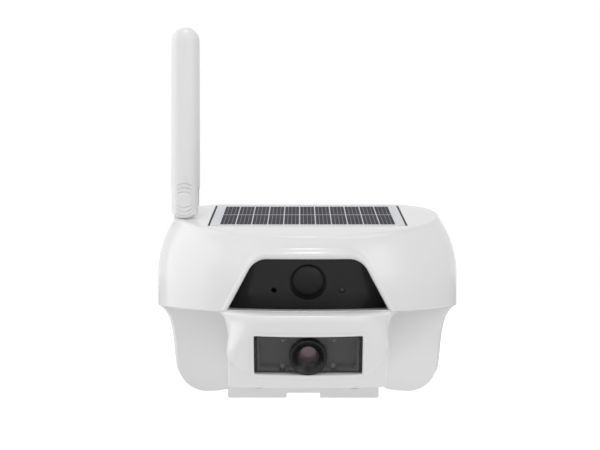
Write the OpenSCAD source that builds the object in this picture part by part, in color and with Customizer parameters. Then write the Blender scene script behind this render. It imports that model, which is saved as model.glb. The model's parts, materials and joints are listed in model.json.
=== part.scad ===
// Solar-powered security camera with a folding antenna, hung on a wall plate.
// Millimetres. The front faces -Y, +X is to the right when looking at the front, +Z is up.
// The origin lies on the wall face, on the camera's middle plane, half way up the wall plate.

/* [Solar panel] */
// Width of the solar panel
panel_w = 110; // [106:0.5:111]
// Depth of the solar panel, front to back
panel_d = 60; // [56:0.5:60]
// Slope of the hood's top, down towards the front, in degrees
top_tilt = 12; // [10:0.5:13]
// Columns of solar cells
cell_columns = 11; // [8:1:12]
// Rows of solar cells
cell_rows = 2; // [1:1:2]

/* [Hood] */
// Radius of the hood's front edge
front_r = 85; // [82:0.5:88]
// Radius of the hood's sides
side_r = 44.6; // [43:0.1:46]
// Radius of the hood's rear corners
corner_r = 28; // [26:0.5:29]
// Radius of the flare from the rim down to the widest line, in side view
flare_r = 55; // [50:1:60]
// Height of the flare below the rim
flare_drop = 32; // [30:0.5:34]
// Rounding of the rim round the top face
rim_round = 1.5; // [1:0.1:2]
// Wall thickness of the mouldings
wall = 2.6; // [2.2:0.1:3]

/* [Sensor window] */
// Width of the black window along its lower edge
sensor_w = 88.4; // [85:0.2:90]
// Height of the black window
sensor_h = 28; // [26:0.1:29]
// Slope of the black window, facing down, in degrees
sensor_tilt = 16; // [14:0.5:17]
// Diameter of the hole round the motion sensor
motion_d = 20; // [18:0.5:21]
// Distance between the two small holes
pinhole_pitch = 36.6; // [34:0.2:40]

/* [Lens window] */
// Width of the smoked window
lens_w = 57.6; // [55:0.2:60]
// Height of the smoked window, along its slope
lens_h = 22; // [21:0.1:22.5]
// Slope of the smoked window, facing down, in degrees
lens_tilt = 16; // [14:0.5:17]
// Outer diameter of the lens ring
lens_ring_d = 19.8; // [18:0.1:20.4]
// How far the lens ring stands out of the smoked window
lens_out = 2.6; // [2.3:0.1:4.5]

/* [Antenna] */
// Height of the antenna's tip above its hinge
antenna_len = 100.8; // [80:0.1:120]
// Diameter of the antenna tube
antenna_d = 16.8; // [16:0.1:17]
// Width of the tongue that the antenna folds on
tongue_w = 12.4; // [11:0.1:12.6]
// Diameter of the hinge pin
pin_d = 4; // [3.5:0.1:4.5]

/* [Wall plate] */
// Width of the wall plate
plate_w = 94.5; // [90:0.5:98]
// Height of the wall plate
plate_h = 91.6; // [88:0.2:94]
// Thickness of the wall plate
plate_t = 7; // [6:0.1:7.2]
// Distance between the wall screws, side to side
screw_span_x = 60; // [54:1:62]
// Distance between the wall screws, up and down
screw_span_z = 72; // [71:0.5:73]
// Diameter of the wall screw holes
screw_hole_d = 4.5; // [4:0.1:5]

/* [Hidden] */
$fn = 64;

// Line of the hood's top face: its height at the front edge of the panel
panel_y = -74;
panel_z = 62;
top_slope = tan(top_tilt);
// Lower edge of the hood, and the rear face of the housing
hood_z = 16;
back_y = -8.4;
// Share of the flare that is left at the rear
back_flare = 0.2;
// Turn angles where the front arc meets the side arc, and the side arc the rear corner
turn_front = 55;
turn_rear = 100;
front_centre = [0, front_r - 27.7];
side_centre = front_centre + (front_r - side_r) * out(turn_front);
corner_centre = side_centre + (side_r - corner_r) * out(turn_rear);
widest = side_centre.x + side_r;
// Steps round a ring of the hood
ring_steps = 96;

// Lower housing
lower_z = -33;
lobe_x = 60;
lobe_corner_x = widest - lobe_x;
lobe_corner_z = 16;
face_y = -57;
lobe_swell = 12.2;
lobe_decay = 7;
lobe_trim = 0.15;

// Snout below the black window: half-width, front and corner radius at each height
snout_bow_r = 250;
snout_levels = [
    [17.0, 44.4, -108.6, 30],
    [16.7, 46.0, -112.8, 32],
    [16.0, 47.4, -116.2, 34],
    [14.8, 48.6, -118.8, 34],
    [12.6, 48.2, -119.6, 32],
    [9.6, 46.4, -119.0, 27],
    [6.8, 45.1, -118.2, 22],
    [3.6, 44.4, -117.3, 17.5],
    [-0.4, 44.6, -116.2, 13.5],
    [-5, 45.1, -114.9, 10],
    [-8, 44.6, -114.1, 8],
    [-11, 43.2, -113.2, 7.5],
    [-13.6, 40.8, -112.5, 7.5],
    [-15.6, 37.6, -112, 7.5],
    [-17.2, 33, -111.5, 7.5],
    [-18.4, 28, -111.2, 7.5]];
chin_w = 86.4;
chin_y = -111.6;
chin_z = -23.2;
snout_back = -56.6;

// Black sensor window
sensor_y = -102.5;
sensor_z = 31.3;
sensor_bow_r = 85;
sensor_t = 1.6;
sensor_flank = 28.5;
sensor_foot = 17;
sensor_corner = 12;
motion_z = 0.7;
pinhole_z = -4.5;
pinhole_d = 3;

// Smoked lens window
lens_y = -112.5;
lens_z = -5.6;
window_t = 1.4;
lens_drop = -0.9;
led_x = 13.4;
led_high = 6.6;
led_low = -8.6;

// Antenna hinge
hinge = [-71.2, -50, 77];
fork_gap = 6.8;
knuckle_r = 8.3;
tongue_t = 6.4;
pin_len = 13.8;

// Wall plate and its hooks
plate_x = -2.2;
hook_x = 28;
hook_z = [-14, 7.7];
hook_w = 12;
lift = 12;

// Port recess in the underside
port_x = 31;
port_front = -55.8;
port_rear = -43.6;
port_floor = -30;
port_roof = -26;
flap_hinge = [-45, -28.9];
fit = 0.3;

// Front face of the main board
board_y = -48;

// Battery cells
cell_d = 18.4;
cell_len = 65;
battery_y = [-70, -49.5, -29];
battery_z = 28.5;

// Unit vector out of the hood's outline at a turn angle: 0 at the front, 180 at the back
function out(a) = [sin(a), -cos(a)];

// Point of the rim in the sloped top plane
function rim_arc(a) = a < turn_front ? front_centre + front_r * out(a)
    : a < turn_rear ? side_centre + side_r * out(a)
    : corner_centre + corner_r * out(a);

// The same point seen from above, moved out by d
function rim_at(a, d) = let (p = rim_arc(a))
    [p.x + d * sin(a), panel_y + p.y * cos(top_tilt) - d * cos(a)];

// Height of the top plane over a place
function top_at(y) = panel_z + top_slope * (y - panel_y);

// Smooth step from 0 to 1
function ease(t) = let (u = min(1, max(0, t))) u * u * (3 - 2 * u);

// How far the hood has flared at a depth below the rim
function flare(depth) = let (d = min(depth, flare_drop))
    sqrt(flare_r ^ 2 - (flare_drop - d) ^ 2) - sqrt(flare_r ^ 2 - flare_drop ^ 2);

// The flare is full at the front and sides and fades towards the back
function flare_share(a) = 1 - (1 - back_flare) * ease((a - turn_rear) / 70);

// Right half of a ring, from the front to the back
half_turns = [for (i = [0.5 : ring_steps / 2 - 1]) i * 360 / ring_steps, 180];

// Closed ring from its right half
function mirrored(half) = concat(half, [for (i = [len(half) - 1 : -1 : 0])
    [-half[i].x, half[i].y, half[i].z]]);

// Ring of the hood round the rounded rim, b from 0 on top to 90 at the side
function rim_ring(b, d, drop) = mirrored([for (a = half_turns)
    let (p = rim_at(a, d - rim_round * (1 - sin(b))))
    [p.x, p.y, top_at(p.y) - rim_round * (1 - cos(b)) - drop]]);

// Ring of the hood's side, t from 0 under the rim to 1 at the lower edge z
function side_ring(t, d, z) = mirrored([for (a = half_turns)
    let (top = top_at(rim_at(a, 0).y) - rim_round)
    let (height = top - t * (top - z))
    let (p = rim_at(a, d + flare(top - height) * flare_share(a)))
    [p.x, p.y, height]]);

// Solid through a list of rings that are mirror images in X
module loft(rings) {
    n = len(rings[0]);
    m = len(rings);
    sides = [for (j = [0 : m - 2], i = [0 : n - 1]) let (k = (i + 1) % n)
        each [[j * n + i, j * n + k, (j + 1) * n + k], [j * n + i, (j + 1) * n + k, (j + 1) * n + i]]];
    first = [for (i = [0 : n / 2 - 2]) [n - 1 - i, n - 2 - i, i + 1, i]];
    last = [for (i = [0 : n / 2 - 2]) [for (v = [i, i + 1, n - 2 - i, n - 1 - i]) v + (m - 1) * n]];
    polyhedron([for (r = rings) each r], concat(sides, first, last), convexity = 6);
}

side_steps = [0.07, 0.15, 0.24, 0.34, 0.45, 0.57, 0.7, 0.85, 1];

// Whole hood, moved out by d, with its top lowered by drop and its lower edge at z
module hood_form(d, drop, z) {
    loft(concat(
        [for (b = [0, 30, 60, 90]) rim_ring(b, d, drop)],
        [for (t = side_steps) side_ring(t, d, z)]));
}

// Ring of the snout, grown by g: a bowed front, rounded corners and straight sides
function snout_ring(level, g) = let (w = level[1] + g, r = level[3])
    let (turn = asin((w - r) / (snout_bow_r - r)))
    let (c = [0, level[2] + snout_bow_r])
    let (k = c + (snout_bow_r - r) * out(turn))
    mirrored(concat(
        [for (i = [0.5 : 3.5]) let (p = c + snout_bow_r * out(turn * i / 4)) [p.x, p.y, level[0]]],
        [for (i = [0 : 8]) let (p = k + r * out(turn + (90 - turn) * i / 8)) [p.x, p.y, level[0]]],
        [[w, snout_back + g, level[0]]]));

module snout_form(g) { loft([for (s = snout_levels) snout_ring(s, g)]); }

// Side of the lower housing in front view at a depth below the hood, moved in by d
function lobe_flare(depth) = lobe_swell * max(0, 1 / (1 + depth / lobe_decay) - lobe_trim);

// Outline of the lower housing in front view, down its side and round its corner: [x, z, flare]
function lobe_line(d) = concat(
    d > 0 ? [[widest - d, hood_z + 1, lobe_flare(0)]] : [],
    [for (s = [0, 1.4, 3, 5, 8, 12, 17, 23, 29])
        [widest - d, hood_z - s, lobe_flare(s)]],
    [for (b = [0 : 11.25 : 90])
        [lobe_x + (lobe_corner_x - d) * cos(b), lower_z + lobe_corner_z - (lobe_corner_z - d) * sin(b), 0]]);

// Front face of the lower housing: upright, then coming forward towards its lower edge
function face_at(z) = face_y - 4 * ease((hood_z - z - 16) / 34);

// Ring of the lower housing at a turn angle, moved in by d; the first one is its front face
function lower_ring(a, d) = mirrored([for (p = lobe_line(d))
    let (line = rim_at(a, 2.05 * ease((a - turn_rear) / 70) - d).y)
    let (y = a == face_turns[0] ? face_at(p[1]) + d : line)
    let (low = max(0, hood_z - p[1]) / (hood_z - lower_z))
    let (lift_up = 7 * low ^ 2 * (1 - sqrt(1 - max(0, (y - (back_y - 12)) / 12.2) ^ 2)))
    [p[0] * rim_at(a, 0).x / widest + p[2] * flare_share(a), y, p[1] + lift_up]]);

face_turns = [68, 74, 80, 87, 94, 102, 110, 120, 131, 142, 153, 164, 173, 180];

module lower_form(d) {
    loft([for (i = [len(face_turns) - 1 : -1 : 0]) lower_ring(face_turns[i], d)]);
}

// Underside between the lobes, cut up to the floor over the ports: [x, z] in front view
module between_lobes() {
    half = [[lobe_x, lower_z - 1], [lobe_x, lower_z - 0.01], [52, lower_z + 0.3], [45, lower_z + 1.3],
        [chin_w / 2 + 0.2, port_floor]];
    upright(-90, 90) polygon(concat(half, [for (i = [len(half) - 1 : -1 : 0]) [-half[i].x, half[i].y]]));
}

// Plan of the seam between the two mouldings, moved in by d
module seam_plan(d) {
    half = [for (a = [66, 69, each [72 : 6 : 180]]) rim_at(a, 10.2 * flare_share(a) - d)];
    front = [half[0].x, face_y + d];
    right = concat([front], [for (p = half) if (p.y > face_y + d + 0.5) p]);
    polygon(concat(right, [for (i = [len(right) - 1 : -1 : 0]) [-right[i].x, right[i].y]]));
}

// Frames that follow the slopes: x across, y into the camera, z up the slope
module on_top() { translate([0, panel_y, panel_z]) rotate([top_tilt, 0, 0]) children(); }
module on_sensor() { translate([0, sensor_y, sensor_z]) rotate([sensor_tilt, 0, 0]) children(); }
module on_lens() { translate([0, lens_y, lens_z]) rotate([lens_tilt, 0, 0]) children(); }
// Stands a drawing up: its second axis becomes the height, and it is pushed into the camera
module upright(from, depth) { translate([0, from + depth, 0]) rotate([90, 0, 0]) linear_extrude(depth) children(); }
// Round bar along Y
module rod(d, from, to) { translate([0, from, 0]) rotate([-90, 0, 0]) cylinder(d = d, h = to - from); }
// Mirrored pair
module both() { children(); mirror([1, 0, 0]) children(); }

// Black window in front view, standing on its foot: a trapezium with rounded upper corners, grown by g
module sensor_shape(g) {
    slope = tan(sensor_flank);
    top = sensor_foot + sensor_h + g;
    low = sensor_w / 2 + g / cos(sensor_flank);
    r = sensor_corner + g;
    // centre of the rounded corner, tangent to the top and to the flank
    cx = low - (top - sensor_foot) * slope - r * tan(45 - sensor_flank / 2);
    arc = [for (b = [90 - sensor_flank, each [54 : -9 : 0]]) [cx + r * sin(b), top - r + r * cos(b)]];
    right = concat([[low + g * slope, sensor_foot - g]], arc);
    polygon(concat(right, [for (i = [len(right) - 1 : -1 : 0]) [-right[i].x, right[i].y]]));
}

// Upright round bar that bows the black window, its skin at depth d
module sensor_drum(d) { translate([0, sensor_bow_r, -30]) cylinder(r = sensor_bow_r - d, h = 60, $fn = 180); }

module wall_plate() {
    color("whitesmoke") difference() {
        union() {
            translate([plate_x, 0, 0]) difference() {
                upright(-plate_t, plate_t) rounded(plate_w, plate_h, 1);
                translate([0, 0, -plate_h / 2]) cube([21, 40, 6.2], center = true);
                // hollow underneath, so that it lies flat on a rough wall
                upright(-2.2, 3) difference() {
                    rounded(plate_w - 8, plate_h - 14, 3);
                    both() translate([26, 0]) square([5, plate_h], center = true);
                    square([plate_w, 3], center = true);
                }
            }
            both() for (z = hook_z) translate([hook_x, -plate_t, z]) hook();
            for (x = [-1, 1], z = [-1, 1]) translate([x * screw_span_x / 2, 0, z * screw_span_z / 2])
                rod(11, -plate_t, 0);
        }
        for (x = [-1, 1], z = [-1, 1]) translate([x * screw_span_x / 2, 0, z * screw_span_z / 2]) {
            rod(screw_hole_d, -plate_t - 1, 1);
            translate([0, -plate_t - 0.01, 0]) rotate([-90, 0, 0]) cylinder(d1 = 9, d2 = screw_hole_d, h = 2.3);
        }
    }
}

// Upturned hook that holds the housing's rear wall
module hook() {
    translate([-hook_w / 2, -4.6, -2]) cube([hook_w, 5.6, 4]);
    translate([-hook_w / 2, -7, -2]) cube([hook_w, 2.4, 9]);
}

module rounded(w, h, r) {
    square([w - 2 * r, h], center = true);
    square([w, h - 2 * r], center = true);
    for (x = [-1, 1], y = [-1, 1]) translate([x * (w / 2 - r), y * (h / 2 - r)]) circle(r);
}

// Pocket behind the rear wall that the plate's hooks go into, with room to lift off
module hook_pocket(z) {
    translate([hook_x - hook_w / 2 - 0.6, back_y - wall - 0.1, z - 2 - lift - fit])
        cube([hook_w + 1.2, wall + 1, lift + 4 + 2 * fit]);
    translate([hook_x - hook_w / 2 - 0.6, back_y - 6.4, z - 2 - lift - fit])
        cube([hook_w + 1.2, 6.4 - wall, lift + 9 + 2 * fit]);
}

module top_shell() {
    $fn = 32;
    color("white") difference() {
        union() {
            difference() {
                hood_form(0, 0, hood_z);
                difference() {
                    hood_form(-wall, wall + 3, hood_z - 1);
                    translate([-100, -120, hood_z - 2]) cube([200, 120 + face_y + wall, 2 + wall]);
                    // pads round the heads of the wall screws
                    both() translate([screw_span_x / 2 - 8, back_y - 8.6, hood_z + 1]) cube([16, 9, 34]);
                }
            }
            intersection() {
                hood_form(-wall / 2, wall / 2, hood_z);
                union() {
                    intersection() {
                        upright(-120, 50) sensor_shape(wall);
                        on_sensor() upright(-30, 30 + sensor_t + 5.5) square([130, 80], center = true);
                    }
                    screw_bosses();
                    // flat seat for the antenna's nut
                    translate([hinge.x, hinge.y, hinge.z - 17.7]) cylinder(d = 15, h = 9);
                }
            }
            difference() {
                snout_form(0);
                translate([-37, -105, -40]) cube([74, 59, 54]);
            }
            // square chin behind and below the snout
            difference() {
                translate([0, 0, chin_z]) linear_extrude(hood_z - chin_z - 0.4) chin_plan(0);
                translate([0, 0, chin_z + wall]) linear_extrude(60) chin_plan(wall);
            }
        }
        // seat and opening of the black window
        difference() {
            upright(-140, 60) sensor_shape(0.15);
            on_sensor() sensor_drum(sensor_t + 0.05);
        }
        on_sensor() upright(-2, 24) translate([0, motion_z]) rounded(56, 22.6, 8);
        // seat and opening of the smoked window
        on_lens() {
            upright(-12, 12 + window_t + 0.05) rounded(lens_w, lens_h, 1.2);
            upright(0, 18) rounded(lens_w - 3.4, lens_h - 1.4, 1);
        }
        // solar panel seat and the hole for its lead
        on_top() translate([0, panel_d / 2, 0]) {
            translate([0, 0, -1.95]) linear_extrude(10) square([panel_w + 2.6, panel_d + 0.4], center = true);
            cylinder(d = 9, h = 40, center = true);
        }
        // seat and hole of the antenna base
        translate([hinge.x, hinge.y, 30]) cylinder(d = 8.4, h = 60);
        translate([hinge.x, hinge.y, hinge.z - 6.1]) cube([tongue_w + 0.4, tongue_t + 0.4, 10], center = true);
        translate(hinge) rod(2 * knuckle_r + 1, -9.2, 9.2);
        both() for (p = screw_places) translate([p.x, p.y, hood_z - 1]) cylinder(d = 2.5, h = 12.5);
        // groove for the seal
        translate([0, 0, hood_z - 1]) linear_extrude(2.1) difference() {
            seam_plan(1);
            seam_plan(2.2);
        }
        // room for the heads of the wall screws, as far as the housing lifts
        both() translate([screw_span_x / 2 - 6, back_y - 5.6, screw_span_z / 2 - lift - 5]) cube([12, 7, lift + 11]);
    }
}

// Chin in plan, moved in by d
module chin_plan(d) {
    half = chin_w / 2 - d;
    sag = snout_bow_r - sqrt(snout_bow_r ^ 2 - half ^ 2);
    intersection() {
        translate([0, chin_y + snout_bow_r + d]) circle(snout_bow_r, $fn = 360);
        translate([-half, chin_y - 1]) square([2 * half, snout_back - chin_y + 1 + (d > 0 ? 5 : 0)]);
    }
}

module rear_shell() {
    $fn = 24;
    color("gainsboro") difference() {
        union() {
            difference() {
                lower_form(0);
                lower_form(wall);
            }
            both() translate([hook_x - 9, back_y - 8.6, -29]) cube([18, 7.6, 45]);
            // floor between the lobes, thicker over the ports
            translate([-46, face_y - 1, port_floor]) cube([92, back_y - 2 - face_y, wall]);
            translate([-port_x - 2, port_front - 1.2, port_floor + 1])
                cube([2 * port_x + 4, port_rear - port_front + 4, port_roof - port_floor + 1]);
            both() for (p = screw_places) translate([p.x, p.y, -29.4]) cylinder(d = 7.8, h = hood_z + 29.4);
            // ring that holds the speaker
            translate([-50, -34, -31]) cylinder(d = 23.4, h = 5);
        }
        both() for (z = hook_z) hook_pocket(z);
        between_lobes();
        translate([-port_x, port_front, port_floor - 6])
            cube([2 * port_x, port_rear - port_front, port_roof - port_floor + 6]);
        // sockets, switch and button in the roof of the recess
        translate([-14, -52.4, port_roof - 1]) cube([9.4, 4.4, 8]);
        translate([2, -50.7, port_roof - 1]) cube([13.4, 2.7, 8]);
        translate([-27, -52, port_roof - 1]) cube([7.4, 3.2, 8]);
        translate([22, -50.8, port_roof - 1]) cylinder(d = 3.6, h = 8);
        // seat of the snout and the chin, and the way through to them
        snout_form(0.2);
        translate([-chin_w / 2 - 0.2, face_y - 8, chin_z - 0.2]) cube([chin_w + 0.4, 8.6, 60]);
        translate([-38, face_y - 8, -20]) cube([76, 12, 32]);
        // sound holes under the speaker
        for (x = [-1, 0, 1], y = [-1, 0, 1]) translate([-50 + 4 * x, -34 + 4 * y, -40]) cylinder(d = 1.8, h = 13);
        translate([-50, -34, -28.5]) cylinder(d = 20.4, h = 9);
        screw_holes();
    }
}

// Places of the four screws that hold the mouldings together
screw_places = [[67, -40], [60, -19]];
module screw_holes() {
    both() for (p = screw_places) translate([p.x, p.y, -41]) {
        cylinder(d = 3.2, h = 80);
        cylinder(d = 6, h = 41 - 14);
    }
}
// Bosses in the hood that the screws go into, each on a rib to the nearest wall
module screw_bosses() {
    both() {
        for (p = screw_places) translate([p.x, p.y, hood_z]) cylinder(d = 8, h = 13);
        translate([screw_places[0].x, screw_places[0].y - 1, hood_z]) cube([22, 2, 13]);
        translate([screw_places[1].x - 1, screw_places[1].y, hood_z]) cube([2, 12, 13]);
    }
}

module shell_seal() {
    color("dimgray") translate([0, 0, hood_z]) linear_extrude(1.05) difference() {
        seam_plan(1.05);
        seam_plan(2.15);
    }
}

module solar_board() {
    color("white") on_top() translate([-panel_w / 2, 0, -1.9]) cube([panel_w, panel_d, 2]);
}

// Solar cells: columns across, rows up the slope, with white gaps between
module solar_cells() {
    area = [panel_w - 10.5, panel_d - 8];
    gap = 0.7;
    pitch = [area.x / cell_columns, area.y / cell_rows];
    color("#3a3840") on_top() for (i = [0 : cell_columns - 1], j = [0 : cell_rows - 1])
        translate([-area.x / 2 + i * pitch.x + gap / 2, 3.2 + j * pitch.y + gap / 2, 0.12])
            cube([pitch.x - gap, pitch.y - gap, 0.2]);
}

module solar_film() {
    color("#e4e6ee", 0.3) on_top() translate([-panel_w / 2, 0, 0.34]) cube([panel_w, panel_d, 0.26]);
}

module panel_seals() {
    color("#303030") on_top() both() translate([panel_w / 2 + 0.1, 0, -1.9]) cube([1.1, panel_d, 1.7]);
}

// Tube swept along points that bend gently, eight sides
module lead(path, d) {
    n = len(path);
    rings = [for (i = [0 : n - 1])
        let (t = path[min(n - 1, i + 1)] - path[max(0, i - 1)])
        let (u = t / norm(t))
        let (v = cross(u, abs(u.x) > 0.9 ? [0, 1, 0] : [1, 0, 0]))
        let (a = v / norm(v))
        let (b = cross(u, a))
        [for (k = [0 : 7]) path[i] + d / 2 * (cos(k * 45) * a + sin(k * 45) * b)]];
    faces = [for (j = [0 : n - 2], i = [0 : 7]) let (k = (i + 1) % 8)
        [j * 8 + i, (j + 1) * 8 + i, (j + 1) * 8 + k, j * 8 + k]];
    caps = [[for (i = [0 : 7]) i], [for (i = [7 : -1 : 0]) (n - 1) * 8 + i]];
    tri = [for (f = faces) each [[f[0], f[1], f[2]], [f[0], f[2], f[3]]]];
    polyhedron([for (r = rings) each r], concat(tri, caps), convexity = 6);
}

// Points along a smooth curve through four guide points
function bend(p, q, r, s, steps) = [for (i = [0 : steps]) let (t = i / steps)
    p * (1 - t) ^ 3 + q * 3 * t * (1 - t) ^ 2 + r * 3 * t ^ 2 * (1 - t) + s * t ^ 3];

module solar_lead() {
    color("firebrick") lead(bend([2, -43.6, 65.5], [2, -43.6, 48], [52, -44, 52], [38, -43.9, 9.8], 14), 1.8);
}

module sensor_window() {
    color("#1a1a1a") difference() {
        upright(-120, 50) sensor_shape(-0.1);
        on_sensor() {
            // only the skin of the drum is left
            sensor_drum(sensor_t);
            difference() {
                upright(-32, 54) square([200, 90], center = true);
                sensor_drum(0);
            }
            translate([0, 0, motion_z]) rod(motion_d, -10, 20);
            both() translate([pinhole_pitch / 2, 0, pinhole_z]) rod(pinhole_d, -10, 20);
        }
    }
}

// Shallow dome over the motion sensor, with a flange behind the black window
module motion_dome() {
    ball = 15;
    rim = motion_d / 2 - 1.1;
    sink = sqrt(ball ^ 2 - rim ^ 2);
    color("#242424") on_sensor() translate([0, 0, motion_z]) rotate([-90, 0, 0]) {
        translate([0, 0, 2.5]) difference() {
            cylinder(r = motion_d / 2 + 0.9, h = 1.5);
            translate([0, 0, -1]) cylinder(r = rim - 1.4, h = 5);
        }
        translate([0, 0, 2]) difference() {
            intersection() {
                translate([0, 0, sink]) sphere(ball, $fn = 96);
                translate([0, 0, -20]) cylinder(r = rim, h = 20.8);
            }
            translate([0, 0, sink]) sphere(ball - 1.3, $fn = 96);
        }
    }
}

module motion_sensor() {
    color("silver") on_sensor() translate([0, 0, motion_z]) {
        rod(8.2, 5, 9);
        rod(9.2, 8.2, 9);
        both() translate([2, 0, 1.5]) rod(0.6, 9, 12);
    }
}

module status_light() {
    color("aliceblue") on_sensor() translate([pinhole_pitch / 2, 0, pinhole_z]) {
        rod(2.2, 2.6, 8);
        rod(3.4, 7, 9);
    }
}

module microphone() {
    color("black") on_sensor() translate([-pinhole_pitch / 2, 0, pinhole_z]) rod(6, 6.2, 8.8);
}

module sensor_board() {
    color("darkgreen") on_sensor() difference() {
        upright(9.05, 1.2) rounded(50, 17, 2);
        both() translate([2, 0, motion_z + 1.5]) rod(1, 8, 12);
    }
}

module lens_window() {
    color("#4a4a4c", 0.5) on_lens() difference() {
        upright(0, window_t) rounded(lens_w - 0.3, lens_h - 0.3, 1);
        translate([0, 0, lens_drop]) rod(lens_ring_d + 0.3, -1, 4);
    }
}

// Moulded tray behind the smoked window, with a bay for each pair of lamps
module led_tray() {
    color("#3c3c3e") on_lens() difference() {
        upright(window_t + 0.2, 5) rounded(lens_w - 4, lens_h - 2, 1);
        both() translate([16.6, 0, 0]) upright(window_t - 1, 4.6) rounded(18, lens_h - 6, 2);
        translate([0, 0, lens_drop]) rod(17.2, 0, 12);
        both() for (z = [led_high, led_low]) translate([led_x, 0, z]) rod(3.5, 0, 12);
    }
}

module infrared_leds() {
    color("#9fc4c4") on_lens() both() for (z = [led_high, led_low]) translate([led_x, 0, z]) {
        rod(3, 4.8, 6.7);
        translate([0, 4.9, 0]) sphere(d = 2.8, $fn = 32);
    }
}

module infrared_board() {
    color("darkgreen") on_lens() difference() {
        upright(6.75, 1.2) rounded(lens_w - 5, lens_h - 2.4, 1);
        translate([0, 0, lens_drop]) rod(15.4, 0, 12);
    }
}

// Lens barrel turned about its axis: [radius, depth] down the outside and back up the inside
module lens_barrel() {
    r = lens_ring_d / 2;
    color("#151515") on_lens() translate([0, 0, lens_drop]) rotate([-90, 0, 0]) rotate_extrude($fn = 96)
        polygon([[r - 0.9, -lens_out], [r - 0.25, -lens_out + 0.25], [r, -lens_out + 0.9], [r, 1.2],
            [8.4, 1.25], [8.4, 6.4], [7.4, 6.5], [7.4, 13.6], [6.2, 13.6], [6.2, 5], [4.4, 2.6],
            [7.4, -0.9], [7.9, -1.5], [8.5, -lens_out + 0.4]]);
}

module lens_seal() {
    color("black") on_lens() translate([0, 0, lens_drop]) rotate([-90, 0, 0])
        translate([0, 0, 8.6]) rotate_extrude() translate([8, 0]) circle(0.55, $fn = 24);
}

// Thick front lens: a domed face on a cone that sits in the barrel
module front_lens() {
    color("#503c40", 0.6) on_lens() translate([0, 0, lens_drop]) rotate([-90, 0, 0]) intersection() {
        translate([0, 0, 7.4]) sphere(10, $fn = 96);
        translate([0, 0, -3]) cylinder(r = 7.1, h = 2.3);
    }
}

module inner_lens() {
    color("#302428") on_lens() translate([0, 0, lens_drop]) rotate([-90, 0, 0]) {
        translate([0, 0, 6.2]) cylinder(r = 6, h = 2.2);
        translate([0, 0, 9.6]) cylinder(r = 6, h = 1.8);
    }
}

module camera_board() {
    color("darkgreen") on_lens() translate([0, 0, lens_drop]) difference() {
        upright(15.5, 1.2) rounded(34, 18, 1.5);
        both() translate([14, 0, 0]) rod(2.2, 14, 18);
    }
}

module image_sensor() {
    color("#203040") on_lens() translate([0, 0, lens_drop]) upright(14.3, 1.15) square([7.6, 6.4], center = true);
}

// Flat cable: a bent strip, 8 mm wide
module camera_ribbon() {
    outline = [[-96.4, -11.2], [-90, -12], [-80, -14], [-66, -8], [-52, -2], [board_y - 0.3, -2]];
    color("peru") translate([4, 0, 0]) rotate([90, 0, 90]) linear_extrude(8)
        polygon(concat(outline, [for (i = [len(outline) - 1 : -1 : 0]) outline[i] + [0, 0.3]]));
}

module main_board() {
    color("seagreen") difference() {
        translate([0, 0, -6]) upright(board_y, 1.6) rounded(84, 35, 2);
        both() for (z = [-20, 9]) translate([38.5, 0, z]) rod(2.6, board_y - 1, board_y + 3);
    }
}

// Chips, coil and connectors on the rear of the main board
module board_chips() {
    color("#202020") for (c = [[-6, 2, 14, 14, 1.4], [14, 3, 9, 9, 1.2], [14, -11, 6, 5, 1.4],
        [30, -10, 7, 7, 3.6], [40, 6, 3.6, 7, 5], [-34, -12, 8, 6, 2.4]])
        translate([c[0] - c[2] / 2 - 2, board_y + 1.62, c[1] - c[3] / 2]) cube([c[2], c[4], c[3]]);
}

module wifi_module() {
    color("silver") {
        translate([-34, board_y + 1.62, -3]) cube([16, 0.8, 14]);
        translate([-33.2, board_y + 2.42, -2.2]) cube([14.4, 2.2, 12.4]);
    }
}

// Socket with an open mouth facing down and the contact tongue inside it
module usb_socket() {
    color("silver") translate([-9.3, -50.1, 0]) difference() {
        translate([-4.5, -2, -25.2]) cube([9, 3.9, 7]);
        translate([-4.1, -1.6, -26]) cube([8.2, 3.1, 6.6]);
    }
    color("black") translate([-12.8, -50.2, -24]) cube([7, 0.8, 5]);
}

module card_socket() {
    color("silver") difference() {
        translate([2.2, -50.5, -25.2]) cube([13, 2.3, 14.6]);
        translate([3.1, -49.9, -26]) cube([11.2, 1.2, 15]);
    }
}

module memory_card() {
    color("#181818") translate([3.2, -49.8, -26.2]) cube([11, 1, 14]);
}

module power_switch() {
    color("black") {
        translate([-26.3, -51.4, -27.3]) cube([3.4, 2, 4.4]);
        translate([-26.6, -51.8, -22.95]) cube([5, 2.8, 1.6]);
    }
}

module reset_button() {
    color("#303030") translate([22, -50.8, -27.2]) {
        cylinder(d = 3, h = 5.6);
        translate([0, 0, 5.4]) cylinder(d = 4.6, h = 1);
    }
}

// Rubber flap over the ports, hinged on its rear edge, with a grip lip at its front
module port_cover() {
    w = 2 * port_x - 2 * fit;
    color("#404040") {
        translate([-w / 2, port_front + fit, port_floor]) cube([w, flap_hinge.x - port_front - fit, 2.2]);
        translate([-w / 2, flap_hinge.x, flap_hinge.y]) rotate([0, 90, 0]) cylinder(r = 1.1, h = w);
        translate([-6, port_front + fit, port_floor - 1.2]) cube([12, 1.6, 1.4]);
    }
}

module battery_cells() {
    color("steelblue") for (y = battery_y) translate([-cell_len / 2, y, battery_z]) rotate([0, 90, 0]) {
        cylinder(d = cell_d, h = cell_len);
        translate([0, 0, cell_len - 0.1]) cylinder(d = 5.6, h = 1.3);
    }
}

// Open cradle for the cells, with end walls
module battery_tray() {
    len_in = cell_len + 3;
    color("#2a2a2a") difference() {
        translate([-len_in / 2 - 2, -81.5, 19.4]) cube([len_in + 4, 62.5, 14]);
        for (y = battery_y) translate([-len_in / 2, y, battery_z + 0.2]) rotate([0, 90, 0])
            cylinder(d = cell_d + 0.6, h = len_in);
        translate([-len_in / 2, -78, 26]) cube([len_in, 57, 20]);
    }
}

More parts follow.
